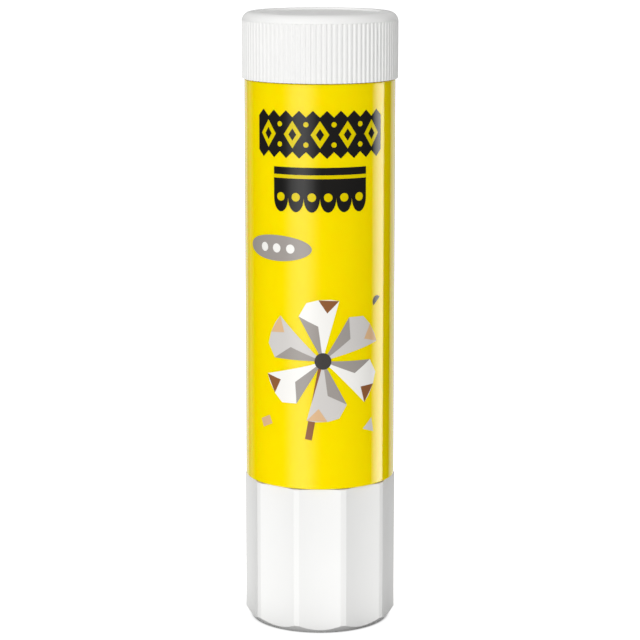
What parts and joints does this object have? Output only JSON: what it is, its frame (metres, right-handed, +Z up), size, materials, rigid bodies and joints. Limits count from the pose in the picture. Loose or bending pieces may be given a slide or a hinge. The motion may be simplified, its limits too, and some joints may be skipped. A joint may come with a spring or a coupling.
{
  "type": "glue stick",
  "caption": "Glue stick: ribbed screw cap, printed sleeve and a fluted foot knob that turns a spindle to feed the glue.",
  "frame": {"origin": "middle of the base, on the surface that the stick stands on", "axes": "+Z up along the stick's axis, towards the cap; the front of the printed sleeve faces -Y"},
  "size_m": [0.0214, 0.0214, 0.085],
  "materials": {
    "cap_white": "moulded polypropylene, soft gloss",
    "knob_white": "moulded polypropylene, soft gloss",
    "sleeve_yellow": "glossy yellow plastic with a printed ornament",
    "tube_white": "moulded natural polypropylene",
    "feed_white": "moulded plastic of the spindle and the carrier",
    "seal_foam": "soft sealing liner",
    "glue_white": "firm waxy white glue"
  },
  "bodies": {
    "tube": {"inner_tube": "tube_white", "outer_sleeve": "sleeve_yellow"},
    "knob": {"knob": "knob_white", "spindle": "feed_white"},
    "carrier": {"carrier": "feed_white", "glue_stick": "glue_white"},
    "cap_seal": {"cap_seal": "seal_foam"},
    "cap": {"cap_shell": "cap_white"}
  },
  "joints": [
    {"name": "knob_turn", "type": "hinge", "parent": "tube", "child": "knob", "pos_m": [0, 0, 0.02055], "axis": [0, 0, 1], "range_deg": [0, 4320]},
    {"name": "carrier_feed", "type": "slide", "parent": "tube", "child": "carrier", "axis": [0, 0, 1], "range_m": [0, 0.048], "deforming": ["glue_stick"]},
    {"name": "cap_rise", "type": "slide", "parent": "tube", "child": "cap_seal", "axis": [0, 0, 1], "range_m": [0, 0.009]},
    {"name": "cap_turn", "type": "hinge", "parent": "cap_seal", "child": "cap", "pos_m": [0, 0, 0.08], "axis": [0, 0, 1], "range_deg": [0, 1080]}
  ],
  "couplings": [
    {"joint": "carrier_feed", "follows": "knob_turn", "m_per_rad": 0.00063662},
    {"joint": "cap_rise", "follows": "cap_turn", "m_per_rad": 0.00047746}
  ]
}
